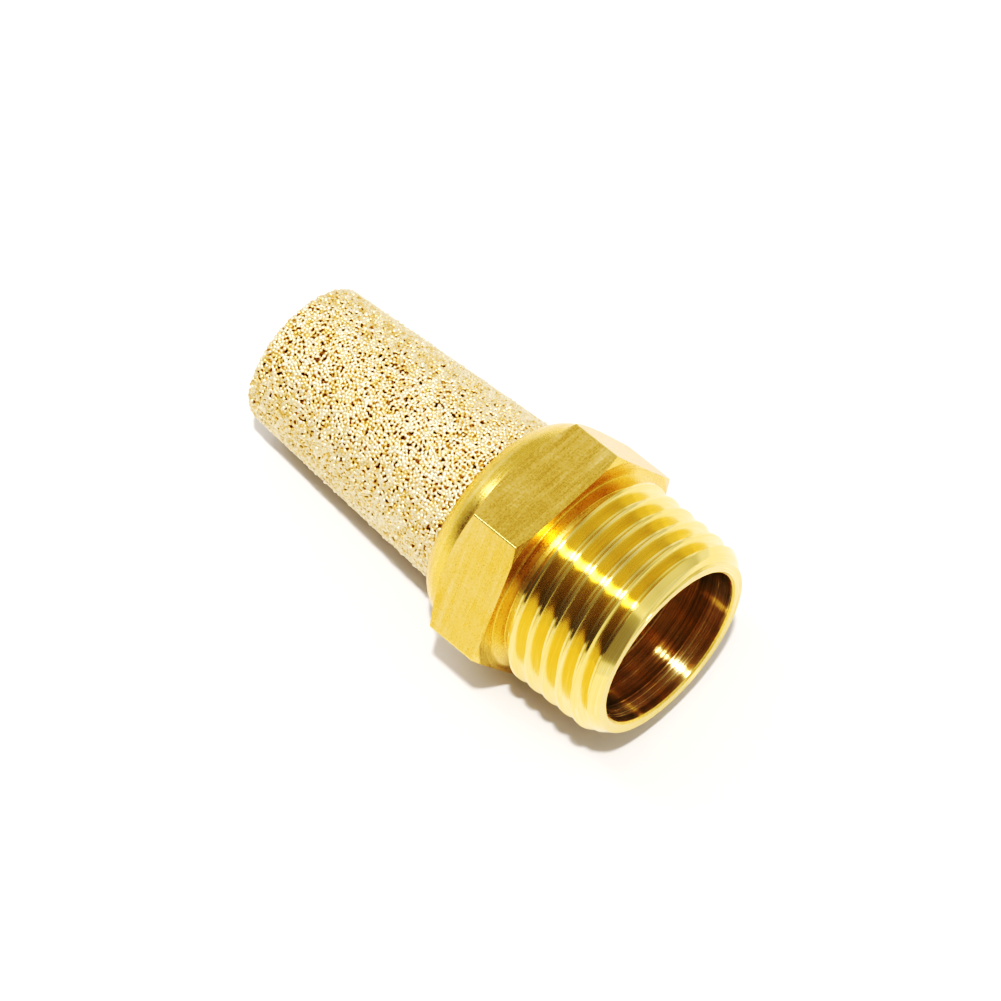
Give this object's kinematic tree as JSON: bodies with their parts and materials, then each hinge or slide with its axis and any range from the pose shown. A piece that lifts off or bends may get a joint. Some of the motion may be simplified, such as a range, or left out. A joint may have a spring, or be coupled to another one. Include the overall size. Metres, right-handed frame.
{
  "type": "pneumatic muffler",
  "caption": "Exhaust silencer for compressed air: a brass hex body with a taper pipe thread and an open bore, carrying a closed porous cup of sintered bronze beads",
  "frame": {"origin": "on the muffler's axis, in the plane of the hexagon's front shoulder, where the pipe thread's spigot starts", "axes": "+X along the axis out of the threaded mouth, +Z square to the upper wrench flat, +Y across the hexagon towards a corner"},
  "size_m": [0.0462, 0.0256, 0.0222],
  "materials": {
    "turned_brass": "machined, satin flats and a bright thread",
    "sintered_bronze": "fused round beads, matt and open-pored"
  },
  "bodies": {
    "root": {"hex_body": "turned_brass", "sintered_element": "sintered_bronze"}
  },
  "joints": []
}
